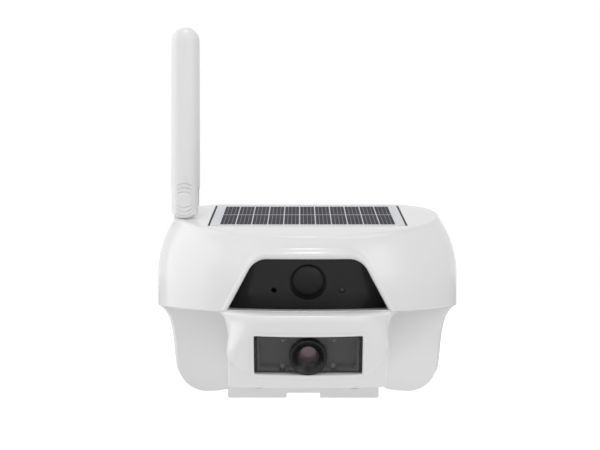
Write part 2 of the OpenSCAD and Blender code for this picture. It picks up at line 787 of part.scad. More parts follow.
module speaker() {
    color("#282828") translate([-50, -34, -28.4]) {
        difference() {
            cylinder(d = 20, h = 4);
            translate([0, 0, -1]) cylinder(d = 17, h = 2.4);
        }
        cylinder(d = 7, h = 2);
        translate([0, 0, 3.9]) cylinder(d = 12, h = 2.6);
    }
}

module housing_screws() {
    color("silver") both() for (p = screw_places) translate([p.x, p.y, 0]) {
        translate([0, 0, -16.4]) cylinder(d = 5.4, h = 2.35);
        translate([0, 0, -14.2]) cylinder(d = 2.4, h = 40);
    }
}

module antenna_base() {
    r = tongue_w / 2;
    color("white") translate(hinge) difference() {
        union() {
            rod(tongue_w, -tongue_t / 2, tongue_t / 2);
            translate([-r, -tongue_t / 2, -11]) cube([tongue_w, tongue_t, 11]);
            translate([0, 0, -22.6]) cylinder(d = 8, h = 14);
        }
        rod(pin_d + 0.1, -tongue_t, tongue_t);
        translate([0, 0, -24]) cylinder(d = 3, h = 15);
    }
}

module antenna_nut() {
    color("silver") translate([hinge.x, hinge.y, hinge.z - 20.8]) difference() {
        cylinder(d = 12.4, h = 3, $fn = 6);
        translate([0, 0, -1]) cylinder(d = 8.1, h = 6);
    }
}

module antenna_cable() {
    color("#202020") lead(bend([hinge.x, hinge.y, 53.6], [hinge.x, hinge.y, 30], [-60, -46, 4], [-35.2, -45.2, 8], 14), 1.6);
}

// Antenna tube: forked at its foot, with a round tip and a flat face on the fork
module antenna_tube() {
    r = antenna_d / 2;
    color("white") translate(hinge) difference() {
        union() {
            rotate_extrude($fn = 96) polygon(concat([[0, 0], [r, 0], [r - 0.2, antenna_len - r + 0.2]],
                [for (b = [9 : 9 : 90]) [(r - 0.2) * cos(b), antenna_len - r + 0.2 + (r - 0.2) * sin(b)]]));
            intersection() {
                rod(2 * knuckle_r, -r, r);
                translate([0, 0, -knuckle_r]) cylinder(r = r, h = knuckle_r + 1, $fn = 96);
            }
        }
        // flat faces on the fork
        translate([-20, -20 - r + 0.8, -20]) cube([40, 20, 34]);
        // slot for the tongue
        translate([-20, -fork_gap / 2, -20]) cube([40, fork_gap, 20 + tongue_w / 2 + 0.5]);
        rod(pin_d, -pin_len / 2, 20);
        // room for the aerial
        translate([0, 0, 10]) cylinder(d = 6, h = 80);
    }
}

module antenna_pin() {
    color("silver") translate(hinge) rod(pin_d, -pin_len / 2, pin_len / 2 + 0.5);
}

module antenna_element() {
    color("goldenrod") translate([hinge.x, hinge.y, hinge.z + 12]) difference() {
        cylinder(d = 5.6, h = 74);
        translate([0, 0, 34]) cylinder(d = 4.6, h = 41);
    }
}

wall_plate();
top_shell();
rear_shell();
shell_seal();
solar_board();
solar_cells();
solar_film();
panel_seals();
solar_lead();
sensor_window();
motion_dome();
motion_sensor();
status_light();
microphone();
sensor_board();
lens_window();
led_tray();
infrared_leds();
infrared_board();
lens_barrel();
lens_seal();
front_lens();
inner_lens();
camera_board();
image_sensor();
camera_ribbon();
main_board();
board_chips();
wifi_module();
usb_socket();
card_socket();
memory_card();
power_switch();
reset_button();
port_cover();
battery_cells();
battery_tray();
speaker();
housing_screws();
antenna_base();
antenna_nut();
antenna_cable();
antenna_tube();
antenna_pin();
antenna_element();
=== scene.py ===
# %% [markdown]
# # Dressing a solar security camera
#
# The camera's measured solids come in from the frame file, and every part keeps the place and size that it has
# there. This lesson gives each part its finish. It also puts finer surfaces in place of the hood's moulding
# and of the antenna's stick. They are worked out with numpy from the same sizes as the solids.

import json

import bmesh
import bpy
import numpy as np
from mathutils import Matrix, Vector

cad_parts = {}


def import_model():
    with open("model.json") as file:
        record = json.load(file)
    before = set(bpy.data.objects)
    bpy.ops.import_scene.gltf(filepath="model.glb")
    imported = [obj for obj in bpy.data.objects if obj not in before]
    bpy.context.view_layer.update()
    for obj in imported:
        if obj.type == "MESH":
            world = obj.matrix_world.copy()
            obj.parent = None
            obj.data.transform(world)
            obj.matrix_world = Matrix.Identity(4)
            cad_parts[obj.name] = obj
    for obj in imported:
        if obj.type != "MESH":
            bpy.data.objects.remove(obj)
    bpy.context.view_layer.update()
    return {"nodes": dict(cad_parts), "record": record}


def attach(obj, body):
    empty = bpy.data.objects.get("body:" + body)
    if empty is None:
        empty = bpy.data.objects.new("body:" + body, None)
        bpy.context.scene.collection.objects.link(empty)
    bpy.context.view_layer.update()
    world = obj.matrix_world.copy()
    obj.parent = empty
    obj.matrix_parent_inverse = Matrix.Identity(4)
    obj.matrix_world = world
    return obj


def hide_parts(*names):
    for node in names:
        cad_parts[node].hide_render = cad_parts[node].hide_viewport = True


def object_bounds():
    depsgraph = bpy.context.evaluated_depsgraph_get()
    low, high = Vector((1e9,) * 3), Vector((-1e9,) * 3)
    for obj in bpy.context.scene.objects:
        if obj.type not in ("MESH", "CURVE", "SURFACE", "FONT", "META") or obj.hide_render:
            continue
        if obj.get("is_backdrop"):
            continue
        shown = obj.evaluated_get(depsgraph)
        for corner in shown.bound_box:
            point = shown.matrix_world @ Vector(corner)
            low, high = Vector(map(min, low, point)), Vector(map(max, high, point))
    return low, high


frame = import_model()

# %% [markdown]
# ## Helpers for surfaces
#
# The mouldings of such a camera are thin shells that curve both ways. They could be sculpted, or smoothed from
# a few blocks, but then their size is a matter of eye. Here each one is a grid: rows of points that come
# from a formula, with quads between one row and the next. A grid has exactly the size that is asked for,
# and more rows only make it smoother.

# %% Grid helpers
MM = 0.001


def grid_faces(points, closed=False):
    """Quads of a grid of points: a cell joins two neighbours in one row with the same two in the next
    row. closed joins the last column to the first."""
    rows, columns = points.shape[:2]
    index = np.arange(rows * columns).reshape(rows, columns)
    if closed:
        index = np.concatenate([index, index[:, :1]], axis=1)
    corners = [index[:-1, :-1], index[:-1, 1:], index[1:, 1:], index[1:, :-1]]
    return np.stack(corners, axis=-1).reshape(-1, 4)


def stack_rows(rows):
    """Rows that are given as x, y and z arrays, as one array of points: row, column, coordinate."""
    return np.stack([np.stack(row, axis=-1) for row in rows])


def face_middles(points, faces):
    """Middle of each face: the mean of its corners."""
    return points.reshape(-1, 3)[faces].mean(axis=1)


cell = grid_faces(np.zeros((2, 2, 3)))
print("a grid of 2 by 2 points has the face", cell.tolist()[0])


# %% Mesh helpers
def make_mesh(name, points, faces):
    """A mesh object from points in millimetres and its faces, which are an array of quads or a list of
    faces with any number of corners."""
    mesh = bpy.data.meshes.new(name)
    corners = faces if isinstance(faces, list) else faces.tolist()
    mesh.from_pydata((points.reshape(-1, 3) * MM).tolist(), [], corners)
    mesh.validate()
    thing = bpy.data.objects.new(name, mesh)
    bpy.context.scene.collection.objects.link(thing)
    return thing


def shell(thing, thickness):
    """Gives an open surface a wall that grows inwards by a thickness in millimetres."""
    solid = thing.modifiers.new("wall", "SOLIDIFY")
    solid.thickness = thickness * MM
    solid.offset = -1
    solid.use_rim = True
    return thing


def apply_modifiers(thing):
    """Makes what the modifiers show the object's own mesh."""
    graph = bpy.context.evaluated_depsgraph_get()
    mesh = bpy.data.meshes.new_from_object(thing.evaluated_get(graph))
    thing.modifiers.clear()
    thing.data = mesh


def settle(thing, body, crease=32):
    """Applies the modifiers, merges points closer than 0.002 mm, turns the faces outwards, marks edges
    sharper than crease degrees and lets the piece ride on its body."""
    apply_modifiers(thing)
    mesh = thing.data
    work = bmesh.new()
    work.from_mesh(mesh)
    bmesh.ops.remove_doubles(work, verts=work.verts, dist=0.002 * MM)
    bmesh.ops.recalc_face_normals(work, faces=work.faces)
    open_edges = sum(1 for edge in work.edges if len(edge.link_faces) != 2)
    triangles = sum(len(face.verts) - 2 for face in work.faces)
    work.to_mesh(mesh)
    work.free()
    mesh.polygons.foreach_set("use_smooth", np.ones(len(mesh.polygons), dtype=bool))
    mesh.set_sharp_from_angle(angle=np.radians(crease))
    mesh.name = thing.name
    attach(thing, body)
    print(thing.name, "has", triangles, "triangles and", open_edges, "open edges")
    return thing


# %% [markdown]
# ## The outline of the hood
#
# The hood is the white cap that carries the solar panel and shades the window under it. Seen from above, its
# rim is three arcs on each side: a wide one in front, a tighter one at the flank and the rear corner.
# A Bezier curve could be bent to the same look, but arcs that share a tangent meet without a kink and
# keep their radii. Below the rim the sides flare out along an arc, fully in front and only a little at
# the back.

# %% Sizes of the hood, in millimetres
PANEL_Y, PANEL_Z, TILT = -74.0, 62.0, np.radians(12)
RIM_FRONT = 27.7
FRONT_R, SIDE_R, CORNER_R = 85.0, 44.6, 28.0
SIDE_TURN, REAR_TURN, BACK_FADE = np.radians(55), np.radians(100), np.radians(70)
FLARE_R, FLARE_DEPTH, BACK_FLARE = 55.0, 32.0, 0.2
HOOD_Z, LEDGE_Z = 16.0, 17.0
RIM_ROUND, EDGE_ROUND = 1.5, 0.8


def outward(turn):
    """Unit vector out of the outline at a turn angle, 0 in front and pi at the back: the angle's sine in x
    and its cosine towards the front."""
    return np.stack([np.sin(turn), -np.cos(turn)], axis=-1)


FRONT_C = np.array([0, FRONT_R - RIM_FRONT])
SIDE_C = FRONT_C + (FRONT_R - SIDE_R) * outward(SIDE_TURN)
CORNER_C = SIDE_C + (SIDE_R - CORNER_R) * outward(REAR_TURN)
print("half width of the rim", round(SIDE_C[0] + SIDE_R, 2), "mm")


# %% Formulas of the hood
def ease(t):
    """Smooth step from 0 to 1: three t squared less two t cubed."""
    t = np.clip(t, 0, 1)
    return t * t * (3 - 2 * t)


def rim_at(turn, slide, push):
    """Place on the rim seen from above: the arc's centre plus its radius along the outward vector, with the
    depth shortened by the slope of the top, and push millimetres further out. slide shrinks x on the
    straight back."""
    bend, side = np.abs(turn), np.where(turn < 0, -1.0, 1.0)
    way = outward(bend)
    front = FRONT_C + FRONT_R * way
    flank = SIDE_C + SIDE_R * way
    corner = CORNER_C + CORNER_R * way
    place = np.where((bend < REAR_TURN)[..., None], flank, corner)
    place = np.where((bend < SIDE_TURN)[..., None], front, place)
    x = side * (place[..., 0] * slide + push * np.sin(bend))
    return x, PANEL_Y + place[..., 1] * np.cos(TILT) - push * np.cos(bend)


def top_at(y):
    """Height of the sloping top plane: it rises by the tangent of the tilt towards the wall."""
    return PANEL_Z + np.tan(TILT) * (y - PANEL_Y)


def flare(depth):
    """How far the flare's arc has swung out at a depth below the rim. The arc stands upright at its whole
    depth: the distance is the root of radius squared less the squared rest of the depth, less the
    same root at the rim."""
    rest = FLARE_DEPTH - np.minimum(depth, FLARE_DEPTH)
    return np.sqrt(FLARE_R**2 - rest**2) - np.sqrt(FLARE_R**2 - FLARE_DEPTH**2)


def flare_share(turn):
    """The flare is whole up to the rear corner and eases to its back share along the straight back."""
    fade = (np.abs(turn) - REAR_TURN) / BACK_FADE
    return 1 - (1 - BACK_FLARE) * ease(fade)


def hood_front(x, z):
    """Depth y of the hood's skin in front view. The turn angle is found by halving an interval until the
    skin's x at that angle and height meets the given x."""
    low, high = np.zeros_like(x), np.full_like(x, np.radians(85))
    for _ in range(36):
        turn = (low + high) / 2
        top = top_at(rim_at(turn, 1.0, 0)[1]) - RIM_ROUND
        here = rim_at(turn, 1.0, flare(top - z))[0]
        short = here < np.abs(x)
        low, high = np.where(short, turn, low), np.where(short, high, turn)
    top = top_at(rim_at(turn, 1.0, 0)[1]) - RIM_ROUND
    return rim_at(turn, 1.0, flare(top - z))[1]


print("skin at the middle of the brow", np.round(hood_front(np.array([0.0]), np.array([47.0])), 2))

# %% [markdown]
# ## The black window's outline
#
# A black window for the motion sensor fills the hood's front: a flat-topped arch with slanted flanks. The hood
# has an opening there. A Boolean could cut it, but it would leave long thin faces in the curved skin.
# Here the opening comes from a rule instead: how far a point lies outside the outline.

# %% Outline of the black window
FOOT_Z, TOP_Z, HALF_FOOT, FLANK, CORNER = 17.0, 45.0, 44.2, np.radians(28.5), 12.0
QUARTER = np.radians(90)
ARC_X = (HALF_FOOT - (TOP_Z - FOOT_Z) * np.tan(FLANK)
         - CORNER * np.tan(np.radians(45) - FLANK / 2))


def beyond_window(x, z):
    """Distance outside the black window's outline in front view, negative inside: the larger of the
    distances from the top edge and the flank, or that from the corner's arc where it lies between
    the two."""
    x = np.abs(x)
    flank = (x - HALF_FOOT + (z - FOOT_Z) * np.tan(FLANK)) * np.cos(FLANK)
    straight = np.maximum(z - TOP_Z, flank)
    dx, dz = x - ARC_X, z - (TOP_Z - CORNER)
    angle = np.arctan2(dx, dz)
    return np.where((angle > 0) & (angle < QUARTER - FLANK), np.hypot(dx, dz) - CORNER, straight)


print("the window's straight top is", round(2 * ARC_X, 1), "mm long")

# %% [markdown]
# ## The hood
#
# On the real camera the hood is one thin moulding with a flat seat for the solar panel. One grid makes all of
# it: the rows start under the hood, go round the lower edge, up the side, over the rim, across the top and
# down into the seat. Cells inside the window's outline are left out, and a wall thickness closes the
# sheet to a shell as thin as the real one.

# %% Columns and rows of the hood
FRONT_SPAN = 40
UNDERSIDE_IN, UNDERSIDE_Y = 7.0, -53.0
LEDGE_ROW_Z = LEDGE_Z + 0.03


def hood_columns():
    """Turn angle and slide of each column: fine in front, coarser round the sides, straight at the back."""
    side = np.radians(np.linspace(FRONT_SPAN, 180, 84))
    front = np.radians(np.linspace(-FRONT_SPAN, FRONT_SPAN, 135))
    turn = np.concatenate([-side[::-1], front[1:-1], side])
    back = np.linspace(1, -1, 34)[1:-1]
    slide = np.concatenate([np.ones_like(turn), back])
    return np.concatenate([turn, np.full(len(back), np.pi)]), slide


def hood_rows(turn, slide):
    """Rows of the hood from its underside to its rim. The underside runs level out to the lower edge, the
    edge is a quarter circle, the side follows the flare, and the rim is a quarter circle that ends
    on the sloping top."""
    level = np.zeros_like(turn)
    share = flare_share(turn)
    base = top_at(rim_at(turn, slide, 0)[1]) - RIM_ROUND
    low = HOOD_Z + EDGE_ROUND
    swing = flare(base - low) * share
    rows = []
    edge_x, edge_y = rim_at(turn, slide, swing - EDGE_ROUND)
    inner_x, inner_y = rim_at(turn, slide, -UNDERSIDE_IN)
    inner_y = np.maximum(inner_y, UNDERSIDE_Y)
    for q in np.linspace(0, 1, 7)[:-1]:
        x, y = inner_x + (edge_x - inner_x) * q, inner_y + (edge_y - inner_y) * q
        rows.append([x, y, HOOD_Z + level])
    for lean in np.radians([0, 22.5, 45, 67.5]):
        x, y = rim_at(turn, slide, swing - EDGE_ROUND * (1 - np.sin(lean)))
        rows.append([x, y, low - EDGE_ROUND * np.cos(lean) + level])
    ledge = LEDGE_ROW_Z + level
    side = [ledge + (base - ledge) * q for q in np.linspace(0, 1, 44)[1:-1]]
    for z in [low + level, ledge] + side:
        x, y = rim_at(turn, slide, flare(base - z) * share)
        rows.append([x, y, z])
    for lean in np.radians([90, 72, 54, 36, 18, 0]):
        x, y = rim_at(turn, slide, -RIM_ROUND * (1 - np.sin(lean)))
        rows.append([x, y, top_at(y) - RIM_ROUND * (1 - np.cos(lean))])
    return rows


turn, slide = hood_columns()
print("the hood's side has", len(hood_rows(turn, slide)), "rows of", len(turn), "points")

# %% Hood surface
SEAT_HALF = np.array([56.3, 30.2 * np.cos(TILT)])
SEAT_MID = np.array([0.0, PANEL_Y + 30 * np.cos(TILT)])
SEAT_DEPTH, HOOD_WALL = 1.95, 0.9
WINDOW_MARGIN, WINDOW_FRONT_Y = 0.9, -84


def seat_edge(x, y):
    """Where the line from the panel's middle through a point of the rim meets the seat's rectangle: the
    point's offset divided by the larger of its two shares of the half sizes. The nearest column is
    moved onto each corner."""
    dx, dy = x - SEAT_MID[0], y - SEAT_MID[1]
    reach = np.maximum(np.abs(dx) / SEAT_HALF[0], np.abs(dy) / SEAT_HALF[1])
    sx, sy = dx / reach, dy / reach
    for cx, cy in [(1, 1), (-1, 1), (1, -1), (-1, -1)]:
        corner = np.argmin(np.hypot(sx - cx * SEAT_HALF[0], sy - cy * SEAT_HALF[1]))
        sx[corner], sy[corner] = cx * SEAT_HALF[0], cy * SEAT_HALF[1]
    return sx + SEAT_MID[0], sy + SEAT_MID[1]


def hood_points():
    """The hood's rows, then straight rows from the rim to the seat's edge on the sloping top, two down the
    seat's wall, square to the slope, and two that shrink towards the middle of its floor."""
    rows = hood_rows(*hood_columns())
    rim_x, rim_y, _ = rows[-1]
    seat_x, seat_y = seat_edge(rim_x, rim_y)
    for q in np.linspace(0, 1, 9)[1:]:
        x, y = rim_x + (seat_x - rim_x) * q, rim_y + (seat_y - rim_y) * q
        rows.append([x, y, top_at(y)])
    for deep in (0.6, SEAT_DEPTH):
        rows.append([seat_x, seat_y + deep * np.sin(TILT), top_at(seat_y) - deep * np.cos(TILT)])
    for inward in (0.8, 0.55):
        x, y = seat_x * inward, SEAT_MID[1] + (seat_y - SEAT_MID[1]) * inward
        rows.append([x, y + SEAT_DEPTH * np.sin(TILT), top_at(y) - SEAT_DEPTH * np.cos(TILT)])
    return stack_rows(rows)


points = hood_points()
faces = grid_faces(points, closed=True)
x, y, z = face_middles(points, faces).T
window = (beyond_window(x, z) < WINDOW_MARGIN) & (z > LEDGE_ROW_Z) & (y < WINDOW_FRONT_Y)
hood = make_mesh("hood_moulding", points, faces[~window])
settle(shell(hood, HOOD_WALL), "housing")

# %% [markdown]
# ## The brow round the black window
#
# The real moulding has a soft lip round the window: a deep brow on top that throws rain off, and a thin
# rounded edge down the flanks. A bevel would give one width all the way round. Here a profile is carried
# along the window's outline, so its size can change on the way. It starts at the window, comes forward,
# turns over in a round nose and sinks back into the hood's skin.


# %% Path round the window
LIP_OUT, LIP_LOW = 0.35, 0.6


def mirrored(half, flip):
    """A row of values followed by its mirror image, which starts after the last one: the row backwards,
    times flip, which is -1 where a coordinate changes sign."""
    return np.concatenate([half, (half * flip)[-2::-1]])


def window_path():
    """Points, outward vectors and share of brow along the outline in front view, from one foot over the
    top to the other: a straight flank, an arc, the top, and the same mirrored."""
    lean = QUARTER - FLANK
    start = np.array([HALF_FOOT + LIP_OUT, FOOT_Z - LIP_LOW])
    mid_z = TOP_Z - CORNER
    tangent = np.array([ARC_X + CORNER * np.sin(lean), mid_z + CORNER * np.cos(lean)])
    flank = start + (tangent - start) * np.linspace(0, 1, 56)[:, None]
    turn = np.linspace(lean, 0, 34)[1:]
    arc = np.stack([ARC_X + CORNER * np.sin(turn), mid_z + CORNER * np.cos(turn)], axis=-1)
    top = np.stack([ARC_X * (1 - np.linspace(0, 1, 34)[1:]), np.full(33, TOP_Z)], axis=-1)
    away = np.concatenate([np.full(len(flank), lean), turn, np.zeros(len(top))])
    side = np.stack([np.sin(away), np.cos(away)], axis=-1)
    place = mirrored(np.concatenate([flank, arc, top]), [-1, 1])
    return place, mirrored(side, [-1, 1]), mirrored(ease(1 - away / lean), 1)


place, side, brow_share = window_path()
print("the lip follows", len(place), "places, with the whole brow at", int((brow_share == 1).sum()))

# %% Brow surface
WINDOW_Y, WINDOW_Z, WINDOW_BOW_R, WINDOW_TILT = -102.5, 31.3, 85, np.radians(16)
LIP_NOSE, LIP_PROUD, LIP_WIDTH = 0.5, 0.3, 1.7
BROW_NOSE, BROW_PROUD, BROW_WIDTH = 0.95, 1.3, 3.0
LIP_GAP, LIP_SINK, LIP_DEPTH, LIP_WALL = 0.05, 0.06, 1.0, 0.8
SKIN_LOW_Z = HOOD_Z + 0.9


def window_bow(x):
    """How far the window's skin falls back at x: a circle of the bow's radius."""
    return WINDOW_BOW_R - np.sqrt(WINDOW_BOW_R**2 - x**2)


def window_depth(x, z):
    """Depth y of the bowed, tilted window: its local plane plus the bow, both turned by the tilt."""
    sine, cosine = np.sin(WINDOW_TILT), np.cos(WINDOW_TILT)
    local = (z - WINDOW_Z - window_bow(x) * sine) / cosine
    return WINDOW_Y + window_bow(x) * cosine - local * sine


def brow_points():
    """Profile at each place: wall, nose and flange. The nose is a quarter circle that stands proud of the
    hood's skin, and the flange eases down to a little below the skin over the lip's width. Nose,
    height and width are the lip's own plus the brow's, times the share of brow."""
    place, side, share = window_path()
    x, z = place.T
    out_x, out_z = side.T
    nose = LIP_NOSE + BROW_NOSE * share
    proud = LIP_PROUD + BROW_PROUD * share
    width = LIP_WIDTH + BROW_WIDTH * share
    skin = hood_front(x + out_x * nose, np.maximum(z + out_z * nose, SKIN_LOW_Z))
    wall_back = window_depth(x, z) + LIP_DEPTH
    wall_front = skin - proud + nose
    rows = []
    for q in np.linspace(0, 1, 4)[:-1]:
        depth = wall_back + (wall_front - wall_back) * q
        rows.append([x + out_x * LIP_GAP, depth, z + out_z * LIP_GAP])
    for lean in np.radians(np.linspace(0, 90, 8)):
        u = LIP_GAP + nose * (1 - np.cos(lean))
        rows.append([x + out_x * u, wall_front - nose * np.sin(lean), z + out_z * u])
    for q in np.linspace(0, 1, 11)[1:]:
        u = LIP_GAP + nose + (width - nose) * q
        there_x, there_z = x + out_x * u, np.maximum(z + out_z * u, SKIN_LOW_Z)
        rise = proud * (1 - ease(q)) - LIP_SINK * q
        rows.append([there_x, hood_front(there_x, there_z) - rise, there_z])
    return stack_rows(rows)


points = brow_points()
brow = make_mesh("window_brow", points, grid_faces(points))
settle(shell(brow, LIP_WALL), "housing")

# %% [markdown]
# ## The snout
#
# Below the window a rounded snout carries the lens. Its lip runs forward under the window, and its body
# narrows towards the chin. A subdivision cage could shape it, but such a cage only comes near the sizes that
# it is given. Instead the plan of the snout is a shallow bow with two rounded corners, and the sizes of
# that plan change smoothly with the height.

# %% Levels of the snout: height, half width, front and corner radius
LEVELS = np.array([
    [17.0, 48.6, -108.6, 31], [16.7, 49.8, -112.4, 32], [16.0, 50.2, -116.0, 33],
    [14.8, 49.0, -118.6, 33], [12.6, 46.2, -119.4, 30], [9.6, 44.7, -119.0, 26],
    [6.8, 43.6, -118.2, 21], [3.6, 43.0, -117.3, 16.5], [-0.4, 43.1, -116.2, 12.5],
    [-5, 43.4, -114.9, 9.5], [-8, 42.9, -114.1, 8], [-11, 41.6, -113.2, 7.5],
    [-13.6, 39.3, -112.5, 7.5], [-15.6, 36.3, -112.0, 7.5], [-17.2, 32, -111.5, 7.5],
    [-18.4, 27.5, -111.2, 7.5]])
BOW_R, PARTING_Y = 250, -56.6


def smooth_levels(count):
    """More levels through the given ones: a cubic whose slope at each level is that from the level before
    to the level after."""
    knots = np.concatenate([[0], np.cumsum(np.hypot(np.diff(LEVELS[:, 0]), np.diff(LEVELS[:, 2])))])
    slope = np.gradient(LEVELS, knots, axis=0)
    want = np.linspace(0, knots[-1], count)
    k = np.clip(np.searchsorted(knots, want, side="right") - 1, 0, len(knots) - 2)
    step = (knots[k + 1] - knots[k])[:, None]
    t = (want - knots[k])[:, None] / step
    return ((1 + 2 * t) * (1 - t)**2 * LEVELS[k] + t * (1 - t)**2 * step * slope[k]
            + t * t * (3 - 2 * t) * LEVELS[k + 1] + t * t * (t - 1) * step * slope[k + 1])


def snout_rings(levels):
    """One row per level: the side from the back, the corner's arc, half the bow, and the same mirrored.
    The corner's arc touches both the bow and the side, so it begins where the sine of the turn is
    half width less corner over bow radius less corner."""
    z, w, front, r = [column[:, None] for column in levels.T]
    turn = np.arcsin((w - r) / (BOW_R - r))
    mid_y = front + BOW_R
    q = np.linspace(0, 1, 9)[None, :-1]
    corner_x = (BOW_R - r) * np.sin(turn)
    corner_y = mid_y - (BOW_R - r) * np.cos(turn)
    a = turn + (np.pi / 2 - turn) * np.linspace(1, 0, 34)[None, :]
    b = turn * np.linspace(1, 0, 46)[None, 1:]
    x = np.concatenate([w + 0 * q, corner_x + r * np.sin(a), BOW_R * np.sin(b)], axis=1)
    y = np.concatenate([PARTING_Y + (corner_y - PARTING_Y) * q, corner_y - r * np.cos(a),
                        mid_y - BOW_R * np.cos(b)], axis=1)
    x = np.concatenate([x, -x[:, -2::-1]], axis=1)
    y = np.concatenate([y, y[:, -2::-1]], axis=1)
    return np.stack([x, y, np.broadcast_to(z, x.shape)], axis=-1)


rings = snout_rings(smooth_levels(92))
print("snout from", np.round(rings.min(axis=(0, 1)), 1), "to", np.round(rings.max(axis=(0, 1)), 1))

# %% Snout surface
LENS_Y, LENS_Z, LENS_TILT = -112.5, -5.6, np.radians(16)
OPENING_HALF_X, OPENING_HALF_Z, OPENING_R = 28.9, 11.1, 1.4
OPENING_MARGIN, OPENING_FRONT_Y = 0.35, -104
SNOUT_WALL, LEDGE_BACK_Y = 2.0, -84.0


def height_on_slope(p):
    """Height of points along the smoked window's slope, from its middle."""
    return -(p[..., 1] - LENS_Y) * np.sin(LENS_TILT) + (p[..., 2] - LENS_Z) * np.cos(LENS_TILT)


def beyond_box(x, z, half_x, half_z, r):
    """Distance outside a rectangle with rounded corners, negative inside."""
    dx, dz = np.abs(x) - half_x + r, np.abs(z) - half_z + r
    return np.hypot(np.maximum(dx, 0), np.maximum(dz, 0)) + np.minimum(np.maximum(dx, dz), 0) - r


def ledge_row(ring, share):
    """A copy of a ring whose depth goes by a share from its own to a line under the black window."""
    depth = ring[:, 1] * (1 - share) + np.maximum(ring[:, 1], LEDGE_BACK_Y) * share
    return np.stack([ring[:, 0], depth, ring[:, 2]], axis=-1)


ledge = np.stack([ledge_row(rings[0], share) for share in (1.0, 0.66, 0.33)])
points = np.concatenate([ledge, rings])
faces = grid_faces(points)
middle = face_middles(points, faces)
outside = beyond_box(middle[:, 0], height_on_slope(middle), OPENING_HALF_X, OPENING_HALF_Z, OPENING_R)
opening = (outside < OPENING_MARGIN) & (middle[:, 1] < OPENING_FRONT_Y)
snout = make_mesh("snout_moulding", points, faces[~opening])
settle(shell(snout, SNOUT_WALL), "housing")

# %% [markdown]
# ## The frame of the lens opening
#
# The real opening has a crisp rounded edge round the smoked window. The cells left out of the snout end in a
# ragged line, so this frame covers it. It is a profile carried round a rectangle with rounded corners:
# a wall that comes forward from the window, a small nose and a narrow flange that lies on the skin.


# %% Skin and path of the lens opening
def snout_front(x, z):
    """Depth y of the snout's skin in front view, from the levels at that height: on the bow within the
    corner's start, on the corner's arc beyond it."""
    levels = smooth_levels(400)[::-1]
    w, front, r = [np.interp(z, levels[:, 0], levels[:, k]) for k in (1, 2, 3)]
    turn = np.arcsin((w - r) / (BOW_R - r))
    corner_x, corner_y = (BOW_R - r) * np.sin(turn), front + BOW_R - (BOW_R - r) * np.cos(turn)
    bow = front + BOW_R - np.sqrt(BOW_R**2 - x**2)
    reach = np.clip((np.abs(x) - corner_x) / r, 0, 0.999)
    return np.where(np.abs(x) < BOW_R * np.sin(turn), bow, corner_y - r * np.sqrt(1 - reach**2))


def box_path(half_x, half_z, r, corner=12, straight=30):
    """Closed path round a rectangle with rounded corners, with its outward vectors: four quarter circles,
    each joined to the next by points in equal steps."""
    bend = np.linspace(0, np.pi / 2, corner)
    q = np.linspace(0, 1, straight)[1:-1, None]
    places, sides = [], []
    for k, (sx, sz) in enumerate([(1, 1), (-1, 1), (-1, -1), (1, -1)]):
        a = bend + k * np.pi / 2
        way = np.stack([np.cos(a), np.sin(a)], axis=-1)
        places.append(np.array([sx * (half_x - r), sz * (half_z - r)]) + r * way)
        sides.append(way)
    place, side = [], []
    for k in range(4):
        after = (k + 1) % 4
        place += [places[k], places[k][-1] * (1 - q) + places[after][0] * q]
        side += [sides[k], sides[k][-1] * (1 - q) + sides[after][0] * q]
    return np.concatenate(place), np.concatenate(side)


middle_depth = snout_front(np.array([0.0]), np.array([LENS_Z]))[0]
print("skin at the lens opening's height", round(middle_depth, 2))

# %% Frame surface
FRAME_HALF_X, FRAME_HALF_Z, FRAME_R = 28.95, 11.15, 1.2
FRAME_NOSE, FRAME_FLANGE, FRAME_WALL = 0.4, 0.9, 0.5
FRAME_DEPTH, FRAME_PROUD, FRAME_SINK = 1.6, 0.05, 0.12


def lens_frame_points():
    """Profile round the lens opening: a wall that comes forward from the smoked window along its own
    slope, a quarter circle as nose and a flange that sinks into the snout's skin."""
    place, side = box_path(FRAME_HALF_X, FRAME_HALF_Z, FRAME_R)
    c, s = np.cos(LENS_TILT), np.sin(LENS_TILT)

    def world(u, depth):
        """World x, y and z at u outside the path and at a depth behind the window's own plane."""
        x, h = place[:, 0] + side[:, 0] * u, place[:, 1] + side[:, 1] * u
        return x, LENS_Y + depth * c - h * s, LENS_Z + depth * s + h * c

    def skin(u):
        """Local depth of the snout's skin, found by stepping along the slope until it meets the skin."""
        depth = np.zeros(len(place))
        for _ in range(12):
            x, y, z = world(u, depth)
            depth = depth + (snout_front(x, z) - y) * c
        return depth

    nose_back = skin(FRAME_NOSE) + FRAME_NOSE - FRAME_PROUD
    rows = [world(0.0, FRAME_DEPTH * (1 - q) + nose_back * q) for q in (0, 0.5)]
    for lean in np.radians(np.linspace(0, 90, 6)):
        rows.append(world(FRAME_NOSE * (1 - np.cos(lean)), nose_back - FRAME_NOSE * np.sin(lean)))
    for q in np.linspace(0, 1, 6)[1:]:
        u = FRAME_NOSE + FRAME_FLANGE * q
        rows.append(world(u, skin(u) - FRAME_PROUD + FRAME_SINK * q))
    return stack_rows(rows)


points = lens_frame_points()
lens_frame = make_mesh("lens_opening", points, grid_faces(points, closed=True))
settle(shell(lens_frame, FRAME_WALL), "housing")

# %% [markdown]
# ## The chin
#
# Behind the snout a plain block reaches down to the wall plate's notch. It looks like a box, but its front has
# the snout's bow and its lower edges are slightly rounded, which a bevelled cube would miss. So it is a
# stack of plan outlines. At the bottom they move in along a quarter circle, and flat rings close the
# floor. Cells that lie hidden behind the lens opening are left out, to leave room for the lens.

# %% Chin surface
CHIN_HALF, CHIN_CORNER, CHIN_Y, CHIN_Z = 42.2, 1.2, -111.6, -23.2
CHIN_ROUND, CHIN_WALL = 0.7, 1.0
HIDDEN_HALF, HIDDEN_Z, HIDDEN_Y = 29.4, -17.3, -100


